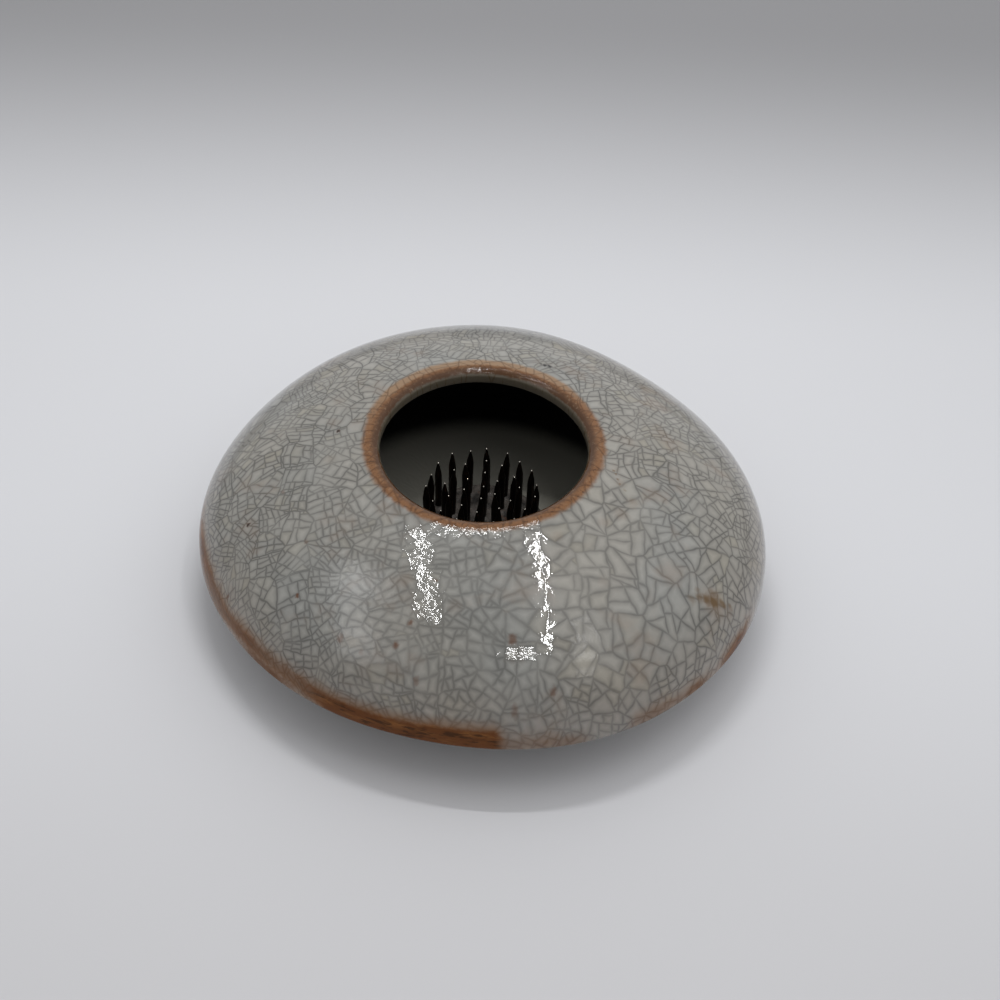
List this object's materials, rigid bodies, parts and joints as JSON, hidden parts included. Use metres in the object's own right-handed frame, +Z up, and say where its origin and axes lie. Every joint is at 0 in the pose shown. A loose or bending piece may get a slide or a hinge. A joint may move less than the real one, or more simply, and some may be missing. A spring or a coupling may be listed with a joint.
{
  "type": "ikebana vase",
  "caption": "Low round stoneware vase with a wide edge, one mouth in the top, and a loose pin holder that stands inside to hold flower stems.",
  "frame": {"origin": "on the table, under the middle of the vase", "axes": "+Z up out of the mouth; the vase is round about Z, and -Y is the side that faces the camera in the picture"},
  "size_m": [0.115, 0.115, 0.037],
  "materials": {
    "glaze": "gloss",
    "lead": "matte",
    "pin": "satin"
  },
  "bodies": {
    "vase": {"vase_body": "glaze"},
    "kenzan": {"kenzan_base": "lead", "kenzan_pin_01": "pin", "kenzan_pin_02": "pin", "kenzan_pin_03": "pin", "kenzan_pin_04": "pin", "kenzan_pin_05": "pin", "kenzan_pin_06": "pin", "kenzan_pin_07": "pin", "kenzan_pin_08": "pin", "kenzan_pin_09": "pin", "kenzan_pin_10": "pin", "kenzan_pin_11": "pin", "kenzan_pin_12": "pin", "kenzan_pin_13": "pin", "kenzan_pin_14": "pin", "kenzan_pin_15": "pin", "kenzan_pin_16": "pin", "kenzan_pin_17": "pin", "kenzan_pin_18": "pin", "kenzan_pin_19": "pin", "kenzan_pin_20": "pin", "kenzan_pin_21": "pin", "kenzan_pin_22": "pin", "kenzan_pin_23": "pin", "kenzan_pin_24": "pin", "kenzan_pin_25": "pin", "kenzan_pin_26": "pin", "kenzan_pin_27": "pin", "kenzan_pin_28": "pin", "kenzan_pin_29": "pin", "kenzan_pin_30": "pin", "kenzan_pin_31": "pin", "kenzan_pin_32": "pin", "kenzan_pin_33": "pin", "kenzan_pin_34": "pin", "kenzan_pin_35": "pin", "kenzan_pin_36": "pin", "kenzan_pin_37": "pin"}
  },
  "joints": [
    {"name": "kenzan_lift", "type": "slide", "parent": "vase", "child": "kenzan", "axis": [0, 0, 1], "range_m": [0, 0.045]}
  ]
}
